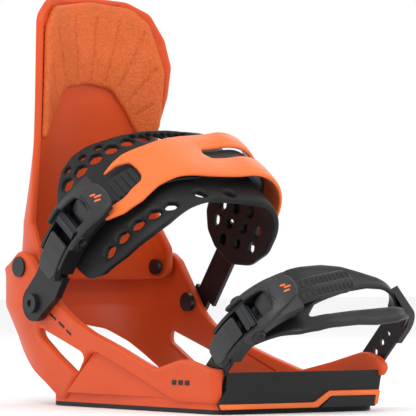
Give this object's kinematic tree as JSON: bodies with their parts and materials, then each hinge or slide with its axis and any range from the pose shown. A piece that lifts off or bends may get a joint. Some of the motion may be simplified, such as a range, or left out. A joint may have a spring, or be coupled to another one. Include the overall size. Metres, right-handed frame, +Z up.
{
  "type": "snowboard strap binding",
  "caption": "Strap-in snowboard binding: base with round mounting disc, heel hoop, folding highback, padded ankle strap and toe strap with ratchet buckles",
  "frame": {"origin": "centre of the mounting disc on the plane of the board's top sheet", "axes": "+X to the toe, +Z up from the board, +Y to the side away from the buckles"},
  "size_m": [0.3333, 0.1551, 0.277],
  "materials": {
    "shell_orange": "fine moulded grain, bright orange",
    "pad_orange": "soft creased synthetic leather, orange",
    "cap_orange": "smooth soft-touch plastic, orange",
    "black_plastic": "fine grain, black",
    "grey_plastic": "satin dark grey",
    "black_rubber": "moulded texture, black",
    "dark_steel": "black oxide",
    "pad_black": "moulded foam rubber, black"
  },
  "bodies": {
    "chassis": {"baseplate": "shell_orange", "side_gussets": "shell_orange", "screw_lugs": "shell_orange", "base_gasket": "black_rubber", "mounting_disc": "black_plastic", "footbed": "black_rubber", "heel_pad": "black_rubber", "heel_hoop": "shell_orange", "hoop_screws": "dark_steel", "toe_ramp_pad": "black_rubber", "toe_ramp_trim": "cap_orange", "toe_bumper": "black_rubber", "highback_pivot_bolts": "dark_steel", "ankle_strap_bolts": "dark_steel", "ankle_strap_nuts": "dark_steel", "toe_strap_bolts": "dark_steel", "highback_pivot_nuts": "dark_steel"},
    "highback": {"highback_shell": "shell_orange", "highback_pad": "pad_orange", "lean_rack": "black_plastic"},
    "lean_slider": {"lean_block": "black_plastic", "lean_lever_pin": "dark_steel"},
    "lean_clamp": {"lean_lever": "grey_plastic"},
    "ankle_strap": {"ankle_pad": "pad_black", "ankle_core_strap": "grey_plastic", "ankle_extender": "black_plastic", "ankle_cap": "cap_orange", "ankle_ladder_link": "black_plastic", "ankle_ladder": "black_plastic", "ankle_buckle_base": "black_plastic", "ankle_lever_pin": "dark_steel", "ankle_release_pin": "dark_steel"},
    "ankle_lever": {"ankle_buckle_lever": "grey_plastic", "ankle_drive_drum": "dark_steel"},
    "ankle_release": {"ankle_release_lever": "grey_plastic"},
    "toe_strap": {"toe_cap": "black_plastic", "toe_ladder": "black_plastic", "toe_extender": "black_plastic", "toe_clip": "black_plastic", "toe_buckle_base": "black_plastic", "toe_lever_pin": "dark_steel", "toe_release_pin": "dark_steel"},
    "toe_lever": {"toe_buckle_lever": "grey_plastic", "toe_drive_drum": "dark_steel"},
    "toe_release": {"toe_release_lever": "grey_plastic"}
  },
  "joints": [
    {"name": "highback_fold", "type": "hinge", "parent": "chassis", "child": "highback", "pos_m": [-0.114, 0, 0.0923], "axis": [0, 1, 0], "range_deg": [0, 20]},
    {"name": "lean_slide", "type": "slide", "parent": "highback", "child": "lean_slider", "axis": [0.1848, 0, 0.9828], "range_m": [0, 0.014]},
    {"name": "lean_clamp_hinge", "type": "hinge", "parent": "lean_slider", "child": "lean_clamp", "pos_m": [-0.1742, 0, 0.104], "axis": [0, 1, 0], "range_deg": [0, 70]},
    {"name": "ankle_strap_swing", "type": "hinge", "parent": "chassis", "child": "ankle_strap", "pos_m": [-0.089, 0, 0.068], "axis": [0, 1, 0], "range_deg": [-10, 25]},
    {"name": "ankle_lever_hinge", "type": "hinge", "parent": "ankle_strap", "child": "ankle_lever", "pos_m": [-0.04626, -0.07293, 0.11831], "axis": [0.809, 0, -0.5878], "range_deg": [0, 70]},
    {"name": "ankle_release_hinge", "type": "hinge", "parent": "ankle_strap", "child": "ankle_release", "pos_m": [-0.05821, -0.0745, 0.10187], "axis": [-0.809, 0, 0.5878], "range_deg": [0, 14], "stiffness_Nm_per_rad": 0.05, "springref_deg": -17.19},
    {"name": "toe_strap_swing", "type": "hinge", "parent": "chassis", "child": "toe_strap", "pos_m": [0.082, 0, 0.024], "axis": [0, 1, 0], "range_deg": [-30, 4]},
    {"name": "toe_lever_hinge", "type": "hinge", "parent": "toe_strap", "child": "toe_lever", "pos_m": [0.12227, -0.05851, 0.06003], "axis": [0.7071, 0, -0.7071], "range_deg": [0, 70]},
    {"name": "toe_release_hinge", "type": "hinge", "parent": "toe_strap", "child": "toe_release", "pos_m": [0.11022, -0.06283, 0.04798], "axis": [-0.7071, 0, 0.7071], "range_deg": [0, 14], "stiffness_Nm_per_rad": 0.05, "springref_deg": -17.19}
  ]
}
